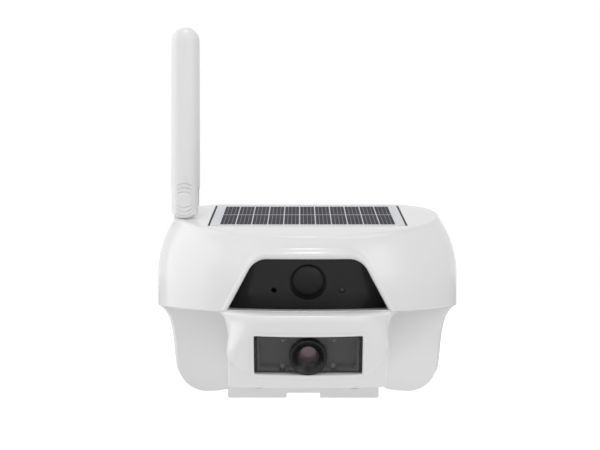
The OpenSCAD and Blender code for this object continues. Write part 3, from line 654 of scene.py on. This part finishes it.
def chin_ring(inset, z):
    """Plan outline, closed: a front with the snout's bow, small quarter circles at its corners and
    straight sides, all moved in by inset, and a straight back that stays at the parting line."""
    half, r = CHIN_HALF - inset, CHIN_CORNER
    front_x = np.linspace(-1, 1, 40) * (half - r)
    front_y = CHIN_Y + inset + BOW_R - np.sqrt(BOW_R**2 - front_x**2)
    a = np.linspace(0, np.pi / 2, 7)[1:]
    right = np.stack([half - r + r * np.sin(a), front_y[-1] + r - r * np.cos(a)], axis=-1)
    left = right[::-1] * [-1, 1]
    back = np.array([[half, PARTING_Y], [-half, PARTING_Y]])
    ring = np.concatenate([np.stack([front_x, front_y], axis=-1), right, back, left])
    return np.concatenate([ring, np.full((len(ring), 1), z)], axis=1)


rows = [chin_ring(inset, CHIN_Z) for inset in (40, 30, 20, 12, 4)]
for lean in np.radians([0, 30, 60, 90]):
    rows.append(chin_ring(CHIN_ROUND * (1 - np.sin(lean)), CHIN_Z + CHIN_ROUND * (1 - np.cos(lean))))
rows += [chin_ring(0, z) for z in (-19.8, -17.3, -15, -12, -8, -4)]
points = np.stack(rows)
faces = grid_faces(points, closed=True)
x, y, z = face_middles(points, faces).T
hidden = (z > HIDDEN_Z) & (np.abs(x) < HIDDEN_HALF) & (y < HIDDEN_Y)
floor_face = list(range(points.shape[1]))[::-1]
chin = make_mesh("chin_moulding", points, faces[~hidden].tolist() + [floor_face])
settle(shell(chin, CHIN_WALL), "housing")
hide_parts("top_shell")

# %% [markdown]
# ## The antenna
#
# The stick of a real antenna is a turned shape with a round tip. Its foot is flattened in front and forked
# for the hinge, and shallow arcs are pressed into the flat above and below the pivot. A lathe profile
# alone would stay round. So a grid is turned first, and its points are then held behind the flat and
# within the knuckle's circle. The fork's slot has square walls, which a Boolean cuts cleanly.

# %% Sizes of the antenna
HINGE = np.array([-71.2, -50.0, 77.0])
STICK_R, TIP_R, STICK_TOP = 8.4, 8.2, 100.8
TAPER, TAPER_LENGTH, FOOT_TOP = 0.2, 77, 16
KNUCKLE_R, FRONT_GROWTH, GROWTH_RUN, FINE_TURN = 8.3, 0.24, 6, 0.6
FLAT_Y, FLAT_TOP, FLAT_RUN, FLAT_RISE = -7.6, 5, 10, 0.9
ARC_R, ARC_SPAN, ARC_HALF_WIDTH, ARC_DEPTH = 6.4, np.radians(43), 0.42, 0.7
ARC_REACH = ((1, 4.6), (1, 7.0), (1, 9.4), (-1, 4.6), (-1, 7.0), (-1, 9.4))
FORK_HALF_X, FORK_HALF_Y, FORK_LOW, FORK_TOP = 12, 3.4, -12.0, 6.7


def arc_depth(x, z):
    """Depth of the pressed arcs: the whole depth times 1 less the fourth power of d, the distance from the
    arc's line over its half width. Three arcs bulge upwards above the pivot and three downwards
    below it."""
    deep = np.zeros_like(x)
    for way, reach in ARC_REACH:
        up = way * z - (reach - ARC_R)
        off = np.abs(np.hypot(x, up) - ARC_R) / ARC_HALF_WIDTH
        near = (np.abs(np.arctan2(x, up)) < ARC_SPAN) * np.maximum(0, 1 - off**4)
        deep = np.maximum(deep, ARC_DEPTH * near)
    return deep


def stick_points():
    """Rows round the stick, with fine rows and columns on the front of the foot for the arcs. The radius
    narrows a little towards the tip, which is a half sphere. Below the hinge x is held within the
    knuckle's circle, which eases to 1 plus its growth times the size in front. In front y is held
    behind a flat, which comes forward with the square of the height above its top and so frees the
    stick."""
    low = -KNUCKLE_R * np.cos(np.linspace(0, np.pi / 2, 90))
    foot = np.linspace(0, FOOT_TOP, 150)[1:]
    body = np.linspace(FOOT_TOP, STICK_TOP - TIP_R, 24)[1:]
    tip = np.linspace(0, np.pi / 2, 18)[1:]
    z = np.concatenate([low, foot, body, STICK_TOP - TIP_R + TIP_R * np.sin(tip)])
    r = np.concatenate([np.full(len(low) + len(foot), STICK_R),
                        STICK_R - TAPER * (body - FOOT_TOP) / TAPER_LENGTH, TIP_R * np.cos(tip)])
    turn = np.concatenate([np.linspace(-FINE_TURN, FINE_TURN, 100),
                           np.linspace(FINE_TURN, 2 * np.pi - FINE_TURN, 64)[1:-1]])
    z, r = z[:, None], np.maximum(r[:, None], 0.02)
    x, y = r * np.sin(turn), -r * np.cos(turn)
    grow = 1 + FRONT_GROWTH * ease(0.5 - y / GROWTH_RUN)
    z = np.where(z < 0, z * grow, z)
    side = np.sqrt(np.maximum((KNUCKLE_R * grow)**2 - np.minimum(z, 0)**2, 0.05)) + 10 * (z > 0)
    x = np.clip(x, -side, side)
    flat = FLAT_Y - FLAT_RISE * np.maximum(0, (z - FLAT_TOP) / FLAT_RUN)**2
    y = np.maximum(y, flat + arc_depth(x, z))
    return np.stack([x, y, z], axis=-1)


points = stick_points() + HINGE
print("stick from", np.round(points.min(axis=(0, 1)), 1), "to", np.round(points.max(axis=(0, 1)), 1))


# %% Antenna surface
def capped(points):
    """A grid of closed rows as one solid: the grid's quads and a face over the first and the last row."""
    rows, columns = points.shape[:2]
    first, last = list(range(columns))[::-1], [(rows - 1) * columns + k for k in range(columns)]
    return grid_faces(points, closed=True).tolist() + [first, last]


def cut_away(thing, name, points):
    """Takes a closed grid out of a piece with a Boolean, and drops the cutter."""
    cutter = make_mesh(name, points, capped(points))
    saw = thing.modifiers.new(name, "BOOLEAN")
    saw.object = cutter
    saw.solver = "EXACT"
    apply_modifiers(thing)
    bpy.data.objects.remove(cutter)


stick = make_mesh("antenna_stick", points, capped(points))
plan = np.array([[-1, -1], [1, -1], [1, 1], [-1, 1]]) * [FORK_HALF_X, FORK_HALF_Y]
slot = [np.concatenate([plan, np.full((4, 1), z)], axis=1) for z in (FORK_LOW, FORK_TOP)]
cut_away(stick, "fork_slot", np.stack(slot) + HINGE)
settle(stick, "antenna")
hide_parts("antenna_tube")

# %% [markdown]
# ## Finishes
#
# Moulded plastic is never one flat colour. Its tone drifts a little over a hand's width, its skin has a fine
# orange-peel texture that breaks up the gloss, and handling polishes it unevenly. Each finish could be a node
# tree of its own, but all of them need the same three things. So they share one recipe: a slow noise
# drifts the colour, a fine noise varies the roughness, and a bump gives the skin its texture.


# %% Recipe for a finish
def add_node(tree, kind, values=None, operation=None):
    """Adds a shader node, picks its operation and fills the inputs that values names or numbers."""
    made = tree.nodes.new(kind)
    if operation:
        made.operation = operation
    for key, value in (values or {}).items():
        made.inputs[key].default_value = value
    return made


def join(tree, *pairs):
    """Links each output socket to the input socket that it is paired with."""
    for source, target in pairs:
        tree.links.new(source, target)


def new_finish(name, colour, rough, metal=0.0, drift=0.02, grain=900.0, relief=20, gloss=0.5, clear=0.0,
               ior=1.47, alpha=1.0):
    """A Principled surface. Its colour runs from 1 less drift to 1 plus drift times the given one, and its
    roughness from 0.85 to 1.15 times. grain is the number of bumps per metre and relief their depth
    in thousandths of a millimetre."""
    finish = bpy.data.materials.new(name)
    finish.use_nodes = True
    tree = finish.node_tree
    dark = [channel * (1 - drift) for channel in colour]
    light = [min(1.0, channel * (1 + drift)) for channel in colour]
    place = add_node(tree, "ShaderNodeTexCoord").outputs["Object"]
    slow = add_node(tree, "ShaderNodeTexNoise", {"Scale": 22.0, "Detail": 3.0})
    fine = add_node(tree, "ShaderNodeTexNoise", {"Scale": grain, "Detail": 2.0})
    tone = add_node(tree, "ShaderNodeMixRGB", {"Color1": (*dark, 1), "Color2": (*light, 1)})
    polish = add_node(tree, "ShaderNodeMapRange",
                      {"To Min": max(0.02, rough * 0.85), "To Max": min(1.0, rough * 1.15)})
    skin = add_node(tree, "ShaderNodeBump", {"Strength": 0.5, "Distance": relief * 0.001 * MM})
    shader = tree.nodes["Principled BSDF"].inputs
    join(tree, (place, slow.inputs["Vector"]), (place, fine.inputs["Vector"]),
         (slow.outputs["Fac"], tone.inputs["Fac"]), (fine.outputs["Fac"], polish.inputs["Value"]),
         (fine.outputs["Fac"], skin.inputs["Height"]), (tone.outputs["Color"], shader["Base Color"]),
         (polish.outputs["Result"], shader["Roughness"]), (skin.outputs["Normal"], shader["Normal"]))
    shader["Metallic"].default_value = metal
    shader["Specular IOR Level"].default_value = gloss
    shader["Transmission Weight"].default_value = clear
    shader["IOR"].default_value = ior
    shader["Alpha"].default_value = alpha
    return finish


finishes = {}


def mix_finishes(recipes):
    """Makes the finishes of a table from name to recipe and keeps them by name."""
    for name, recipe in recipes.items():
        finishes[name] = new_finish(name, **recipe)
    print("mixed", ", ".join(recipes))


# %% [markdown]
# ## White mouldings
#
# The housing is a glossy white plastic, the wall plate behind it has a duller, eroded skin, and the antenna
# lies between the two. The board under the solar cells is a cooler white that shows in their gaps. One
# white for all would look like paper, so they differ in gloss and grain more than in colour.

# %% White plastics
mix_finishes({
    "white_shell": dict(colour=(0.86, 0.86, 0.865), rough=0.2, drift=0.006, relief=3),
    "white_plate": dict(colour=(0.90, 0.90, 0.905), rough=0.5, drift=0.01, grain=1500, relief=30),
    "white_antenna": dict(colour=(0.87, 0.87, 0.875), rough=0.35, drift=0.008, relief=15),
    "panel_white": dict(colour=(0.74, 0.75, 0.79), rough=0.45, drift=0.01)})

# %% [markdown]
# ## Rubber and dark plastics
#
# Rubber and the plastics of the lens barrel, the cables and the chips are all close to black, and colours
# alone would not tell them apart. What does is how dull they are and how coarse their skin is. The
# grey tray behind the smoked window is a plain matt plastic.

# %% Rubber and dark plastics
mix_finishes({
    "seal_rubber": dict(colour=(0.03, 0.03, 0.03), rough=0.8, drift=0.1, relief=40),
    "flap_rubber": dict(colour=(0.45, 0.45, 0.46), rough=0.7, grain=1600, relief=30),
    "cable_black": dict(colour=(0.03, 0.03, 0.03), rough=0.6, drift=0.1),
    "speaker_black": dict(colour=(0.03, 0.03, 0.03), rough=0.6, drift=0.1),
    "chip_black": dict(colour=(0.03, 0.03, 0.032), rough=0.55, drift=0.1, grain=3000, relief=30),
    "barrel_black": dict(colour=(0.010, 0.010, 0.010), rough=0.3, drift=0.1, grain=2500, relief=10,
                         gloss=0.3),
    "tray_grey": dict(colour=(0.22, 0.22, 0.225), rough=0.5, drift=0.05, relief=30)})

# %% [markdown]
# ## Windows and lenses
#
# The black window is polished, and a dull dome covers the motion sensor in it. The window over the lens is
# smoked but clear, so the grey tray and the lamps show through it. Refraction could trace it, but in so thin
# a window the bend can't be seen, and it costs much noise. A low alpha under a glossy skin shows the
# same: a weak veil and a sharp reflection. The coated lens behind it reflects a faint violet.

# %% Windows and lenses
SMOKE = 0.3
mix_finishes({
    "black_gloss": dict(colour=(0.012, 0.012, 0.0125), rough=0.1, drift=0.05, relief=2, gloss=0.3),
    "dome_black": dict(colour=(0.010, 0.010, 0.011), rough=0.38, drift=0.08, grain=2500, relief=10,
                       gloss=0.25),
    "smoked_clear": dict(colour=(0.05, 0.05, 0.052), rough=0.06, drift=0.01, relief=1, alpha=SMOKE),
    "lens_glass": dict(colour=(0.10, 0.07, 0.08), rough=0.04, relief=1, gloss=0.6, alpha=0.12),
    "lens_violet": dict(colour=(0.32, 0.21, 0.23), rough=0.12, drift=0.05, relief=2, gloss=1.0),
    "lamp_clear": dict(colour=(0.62, 0.84, 0.84), rough=0.15, drift=0.03, clear=0.3),
    "lamp_dark": dict(colour=(0.02, 0.028, 0.028), rough=0.15, drift=0.03, gloss=0.6),
    "panel_film": dict(colour=(0.9, 0.92, 0.97), rough=0.12, drift=0.01, relief=4, gloss=0.0, ior=1.04,
                       alpha=0.02)})

# %% [markdown]
# ## Metals and electronics
#
# The screws, the hinge pin and the screening cans are plain metal, which takes its look from what it
# mirrors. A grey paint would not do that, so these finishes are fully metallic and their roughness says how
# well they are ground. The boards, the ribbon and the wrapped battery cells only show once the housing is
# taken apart, and have their everyday colours.

# %% Metals and electronics
mix_finishes({
    "can_steel": dict(colour=(0.62, 0.62, 0.63), rough=0.3, metal=1.0, drift=0.03, grain=3000),
    "screw_steel": dict(colour=(0.55, 0.55, 0.56), rough=0.35, metal=1.0, drift=0.06, grain=2500),
    "pin_steel": dict(colour=(0.62, 0.62, 0.62), rough=0.25, metal=1.0, drift=0.03),
    "element_brass": dict(colour=(0.70, 0.50, 0.20), rough=0.3, metal=1.0, drift=0.04),
    "board_green": dict(colour=(0.02, 0.10, 0.045), rough=0.35, drift=0.25, grain=1800, relief=30),
    "ribbon_amber": dict(colour=(0.35, 0.16, 0.04), rough=0.25, drift=0.05),
    "cell_wrap": dict(colour=(0.05, 0.16, 0.35), rough=0.25, drift=0.04)})

# %% [markdown]
# ## Solar cells
#
# A cell is a dark slice of silicon with hair-thin silver fingers that carry the current. The fingers run up the
# slope, four to a cell, and a silver strip runs between the two rows of cells. As meshes they would be
# thinner than the film over them, so they are a stripe pattern. x is divided by the finger pitch, and
# the places where the fraction is close to a half are silver. The strip is a band of y.

# %% Cell finish
PANEL_LENGTH, PANEL_EDGES, CELL_COLUMNS, CELL_FINGERS = 110, 10.5, 11, 4
FINGER = (PANEL_LENGTH - PANEL_EDGES) / CELL_COLUMNS / CELL_FINGERS * MM
FINGER_SHIFT, FINGER_SHARE, STRIP_HALF = 100.5, 0.05, 0.8
SILVER = (0.36, 0.35, 0.40, 1)

mix_finishes({
    "cell_silicon": dict(colour=(0.018, 0.016, 0.023), rough=0.35, drift=0.12, grain=600, relief=10,
                         gloss=0.1, ior=1.12)})
tree = finishes["cell_silicon"].node_tree
shader = tree.nodes["Principled BSDF"].inputs
silicon = shader["Base Color"].links[0].from_socket
apart = add_node(tree, "ShaderNodeSeparateXYZ")
count = add_node(tree, "ShaderNodeMath", {1: 1 / FINGER, 2: FINGER_SHIFT}, "MULTIPLY_ADD")
part = add_node(tree, "ShaderNodeMath", operation="FRACT")
finger = add_node(tree, "ShaderNodeMath", {1: 0.5, 2: FINGER_SHARE}, "COMPARE")
strip = add_node(tree, "ShaderNodeMath", {1: SEAT_MID[1] * MM, 2: STRIP_HALF * MM}, "COMPARE")
silver = add_node(tree, "ShaderNodeMath", operation="MAXIMUM")
mix = add_node(tree, "ShaderNodeMixRGB", {"Color2": SILVER})
join(tree, (tree.nodes["Texture Coordinate"].outputs["Object"], apart.inputs["Vector"]),
     (apart.outputs["X"], count.inputs[0]), (count.outputs[0], part.inputs[0]),
     (part.outputs[0], finger.inputs[0]), (apart.outputs["Y"], strip.inputs[0]),
     (finger.outputs[0], silver.inputs[0]), (strip.outputs[0], silver.inputs[1]),
     (silver.outputs[0], mix.inputs["Fac"]), (silicon, mix.inputs["Color1"]),
     (mix.outputs["Color"], shader["Base Color"]))
print("one finger every", round(FINGER / MM, 2), "mm")

# %% [markdown]
# ## The painted shadow on the smoked window
#
# The top edge and the two ends of the lens opening shade the smoked window just behind them. That shadow is
# painted shade here: the window turns opaque and near black along its top edge and its two ends. A second
# mesh so close to the window would flicker against it. So the band is a rule on the window's own axes: how
# high a point lies along the slope, and how far it is from the middle.

# %% Painted shadow band on the smoked window
# painted shade: where the opening's edge shades the window, its colour is near black and it turns opaque
SHADOW_BAND_UP, SHADOW_BAND_OUT, SHADOW_BLACK = 9.9, 28.1, (0.004, 0.004, 0.004, 1)
SLOPE_WAY = (0, -np.sin(LENS_TILT), np.cos(LENS_TILT))
SLOPE_START = LENS_Z * np.cos(LENS_TILT) - LENS_Y * np.sin(LENS_TILT)

tree = finishes["smoked_clear"].node_tree
place, shader = tree.nodes["Texture Coordinate"].outputs["Object"], tree.nodes["Principled BSDF"].inputs
smoke = shader["Base Color"].links[0].from_socket
slope = add_node(tree, "ShaderNodeVectorMath", {1: SLOPE_WAY}, "DOT_PRODUCT")
high = add_node(tree, "ShaderNodeMath", {1: (SHADOW_BAND_UP + SLOPE_START) * MM}, "GREATER_THAN")
apart = add_node(tree, "ShaderNodeSeparateXYZ")
wide = add_node(tree, "ShaderNodeMath", operation="ABSOLUTE")
end = add_node(tree, "ShaderNodeMath", {1: SHADOW_BAND_OUT * MM}, "GREATER_THAN")
shadow_band = add_node(tree, "ShaderNodeMath", operation="MAXIMUM")
cover = add_node(tree, "ShaderNodeMapRange", {"To Min": SMOKE, "To Max": 1.0})
shadow_tint = add_node(tree, "ShaderNodeMixRGB", {"Color2": SHADOW_BLACK})
# the painted shadow band: near black and opaque above the height along the slope and beyond the two ends
join(tree, (place, slope.inputs[0]), (place, apart.inputs["Vector"]),
     (slope.outputs["Value"], high.inputs[0]), (apart.outputs["X"], wide.inputs[0]),
     (wide.outputs[0], end.inputs[0]), (high.outputs[0], shadow_band.inputs[0]),
     (end.outputs[0], shadow_band.inputs[1]), (shadow_band.outputs[0], cover.inputs["Value"]),
     (shadow_band.outputs[0], shadow_tint.inputs["Fac"]), (smoke, shadow_tint.inputs["Color1"]),
     (shadow_tint.outputs["Color"], shader["Base Color"]), (cover.outputs["Result"], shader["Alpha"]))
print("border from", SHADOW_BAND_UP, "mm above the middle of the window and", SHADOW_BAND_OUT, "mm beside it")

# %% [markdown]
# ## Painting
#
# On the real camera each part comes out of its mould in its own material. The frame's record says which finish
# each part takes, so the table is read rather than written again. Two parts get a finish that is closer to
# the real one than their slot's, and the new surfaces take that of the moulding they belong to.

# %% Paint every part
OWN_FINISH = {"inner_lens": "lens_violet", "status_light": "lamp_dark"}
slot_of = {part["node"]: part["material_slot"] for part in frame["record"]["subparts"]}
for node, thing in frame["nodes"].items():
    finish = finishes[OWN_FINISH.get(node, slot_of[node])]
    if thing.material_slots:
        for slot in thing.material_slots:
            slot.material = finish
    else:
        thing.data.materials.append(finish)
for thing in (hood, brow, snout, lens_frame, chin, stick):
    thing.data.materials.clear()
    thing.data.materials.append(finishes["white_antenna" if thing is stick else "white_shell"])
print(len(slot_of), "parts painted with", len(finishes), "finishes")

# %% [markdown]
# ## Lamps
#
# White plastic only shows its forms when light comes from a few clear sides, and under one even sky it goes
# flat. A sun would throw hard shadows, so every lamp here is a square that glows evenly. A large one far
# to the left models the flanks, three in front fill them, and a small one overhead puts the fine
# bright line on the rim and the brow.


# %% Lamps
def soft_lamp(name, place, aim, size, power):
    """A square area lamp at place that shines towards aim, both in metres. It looks down its own z axis,
    so it tips by the angle between that axis and the way, then turns to the way's compass angle."""
    light = bpy.data.lights.new(name, "AREA")
    light.size = size
    light.energy = power
    lamp = bpy.data.objects.new(name, light)
    bpy.context.scene.collection.objects.link(lamp)
    lamp.location = place
    way = np.array(aim, float) - np.array(place, float)
    way /= np.linalg.norm(way)
    lamp.rotation_euler = (np.arccos(-way[2]), 0, np.arctan2(-way[0], way[1]))
    return lamp


LAMPS = [("far_left", (-1.8, 0.15, 0.6), 1.8, 15.5), ("left", (-0.9, -1.2, 1.1), 1.2, 3.0),
         ("right", (1.1, -1.1, 0.95), 1.2, 8.5), ("front", (0, -1.5, 0.8), 1.2, 2.2),
         ("top", (0, -0.25, 1.5), 0.35, 5.0)]
LAMP_AIM = (0, -0.06, 0.03)
for name, place, size, power in LAMPS:
    soft_lamp(name, place, LAMP_AIM, size, power)
print(len(LAMPS), "lamps with", round(sum(lamp[3] for lamp in LAMPS), 1), "watts")

# %% [markdown]
# ## Studio world
#
# A studio has white walls. They are white where they are seen, mirrored or looked at through a window, but as
# a lamp they would wash out all shading. A grey world would show grey walls too. The Light Path node
# tells the rays apart, so that the same world is white to look at and only a weak fill on the plastic.

# %% World
AMBIENT = 0.22
world = bpy.data.worlds.new("studio")
bpy.context.scene.world = world
world.use_nodes = True
tree = world.node_tree
seen = add_node(tree, "ShaderNodeLightPath").outputs
direct = add_node(tree, "ShaderNodeMath", operation="MAXIMUM")
white = add_node(tree, "ShaderNodeMath", operation="MAXIMUM")
level = add_node(tree, "ShaderNodeMapRange", {"To Min": AMBIENT, "To Max": 1.0})
sky = tree.nodes["Background"].inputs
sky["Color"].default_value = (1, 1, 1, 1)
join(tree, (seen["Is Camera Ray"], direct.inputs[0]), (seen["Is Glossy Ray"], direct.inputs[1]),
     (direct.outputs[0], white.inputs[0]), (seen["Is Transmission Ray"], white.inputs[1]),
     (white.outputs[0], level.inputs["Value"]), (level.outputs["Result"], sky["Strength"]))
print("the walls fill with", AMBIENT)

# %% [markdown]
# ## Floor
#
# The camera hangs on a wall, so the floor lies well below it. It is a plain pale sheet that takes the soft
# shadow and throws light back up under the hood. Unlit it would meet the white walls in a grey line, so
# it glows a little by itself, and more where it is seen directly.

# %% Floor
FLOOR_Z, FLOOR_HALF, FLOOR_GLOW, FLOOR_SEEN_GLOW = -0.16, 3, 0.2, 0.8
run = np.linspace(-FLOOR_HALF, FLOOR_HALF, 7)
floor_x, floor_y = np.meshgrid(run, run)
points = np.stack([floor_x, floor_y, np.full_like(floor_x, FLOOR_Z)], axis=-1) / MM
floor = make_mesh("floor", points, grid_faces(points))
paint = bpy.data.materials.new("floor_white")
paint.use_nodes = True
tree = paint.node_tree
shader = tree.nodes["Principled BSDF"].inputs
shader["Base Color"].default_value = (0.85, 0.85, 0.85, 1)
shader["Roughness"].default_value = 0.9
shader["Emission Color"].default_value = (1, 1, 1, 1)
seen = add_node(tree, "ShaderNodeLightPath").outputs["Is Camera Ray"]
glow = add_node(tree, "ShaderNodeMapRange", {"To Min": FLOOR_GLOW, "To Max": FLOOR_SEEN_GLOW})
join(tree, (seen, glow.inputs["Value"]), (glow.outputs["Result"], shader["Emission Strength"]))
floor.data.materials.append(paint)
floor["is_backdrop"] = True
print("floor at", FLOOR_Z, "m")

# %% [markdown]
# ## Viewpoint
#
# The view is square to the wall, a little above the middle and 65 cm away. It could be tilted down to show
# more of the top, but a level view keeps the upright edges parallel, and the sloping panel shows anyway.

# %% Camera
CAMERA_AT, CAMERA_LENS = (-0.0043, -0.654, 0.06245), 61.98
eye = bpy.data.cameras.new("camera")
eye.lens = CAMERA_LENS
eye.sensor_width = 36.0
eye.clip_start = 0.01
camera = bpy.data.objects.new("camera", eye)
bpy.context.scene.collection.objects.link(camera)
camera.location = CAMERA_AT
camera.rotation_euler = (np.pi / 2, 0, 0)
bpy.context.scene.camera = camera
bpy.context.scene.view_settings.view_transform = "Standard"
print("camera", -CAMERA_AT[1], "m in front of the wall")

# %% [markdown]
# ## Size
#
# The dressed model's bounds are printed, without the floor.

# %% Size of the dressed model
low, high = [list(map(float, corner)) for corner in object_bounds()]
print("dressed from", np.round(low, 4), "to", np.round(high, 4))
